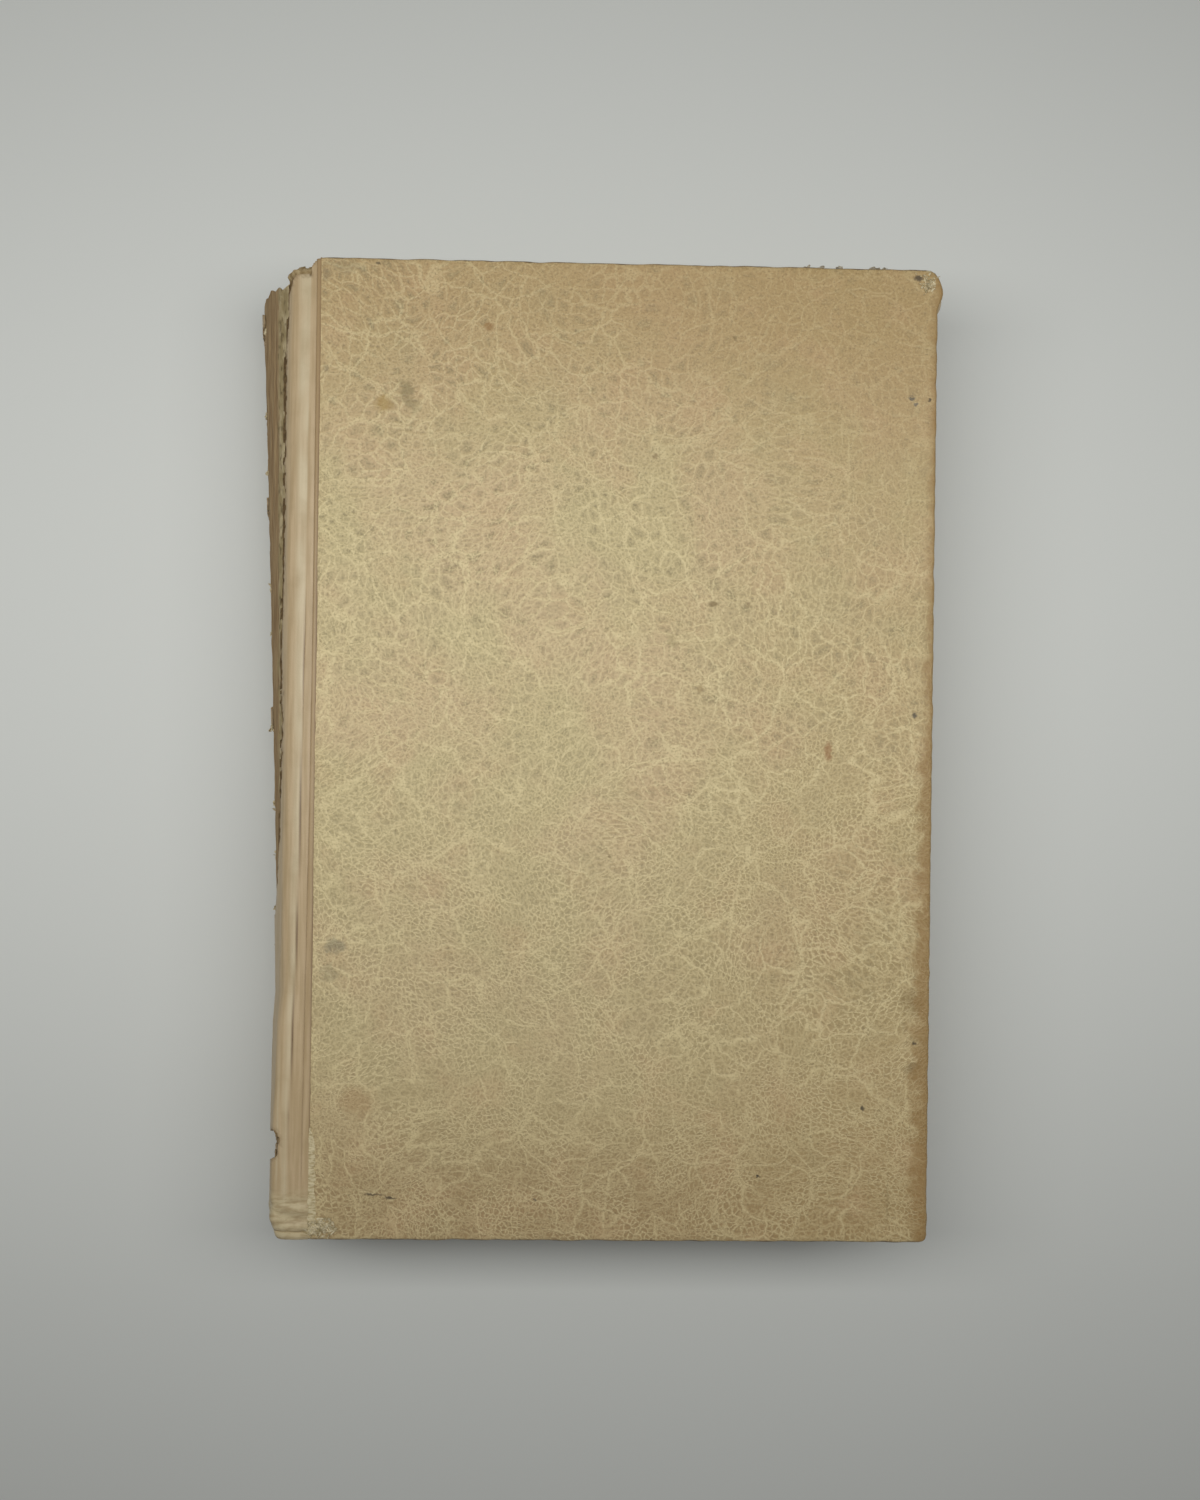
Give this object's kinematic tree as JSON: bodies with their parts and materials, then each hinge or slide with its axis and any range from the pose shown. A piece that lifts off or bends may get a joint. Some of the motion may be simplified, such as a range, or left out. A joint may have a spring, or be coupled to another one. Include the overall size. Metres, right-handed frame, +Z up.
{
  "type": "hardback book",
  "caption": "Old hardback book with hinged boards in grained cream paper, a rounded leaning spine torn open along the back, and a solid block of pages.",
  "frame": {"origin": "middle of the book's box on the plane that the rear cover lies on", "axes": "+X from the spine towards the fore edge, +Y from the tail towards the head, +Z up through the front cover"},
  "size_m": [0.1447, 0.206, 0.0296],
  "materials": {
    "pages": "yellowed uncoated book paper, edges toned",
    "endpaper": "uncoated endpaper, toned",
    "mull_cloth": "open cotton cloth stiffened with old glue",
    "brown_lining": "brown lining paper with dried glue",
    "inlay_card": "thin brown card",
    "spine_paper": "covering paper rubbed smooth over the spine",
    "grained_paper": "matt cream covering paper embossed with a leather grain",
    "board": "grey binder's board"
  },
  "bodies": {
    "block": {"text_block": "pages", "front_flyleaf": "endpaper", "rear_flyleaf": "endpaper", "mull": "mull_cloth", "spine_lining": "brown_lining", "spine_inlay": "inlay_card", "spine_cover": "spine_paper"},
    "front_cover": {"front_board": "board", "front_cover_paper": "grained_paper", "front_mull_flap": "mull_cloth", "front_pastedown": "endpaper"},
    "rear_cover": {"rear_board": "board", "rear_cover_paper": "grained_paper", "rear_mull_flap": "mull_cloth", "rear_pastedown": "endpaper"}
  },
  "joints": [
    {"name": "front_hinge", "type": "hinge", "parent": "block", "child": "front_cover", "pos_m": [-0.05586, 0, 0.0296], "axis": [0, -1, 0], "range_deg": [0, 180]},
    {"name": "rear_hinge", "type": "hinge", "parent": "block", "child": "rear_cover", "pos_m": [-0.06101, -0.00253, 0], "axis": [-0.0399, 0.9992, 0], "range_deg": [0, 180]}
  ]
}
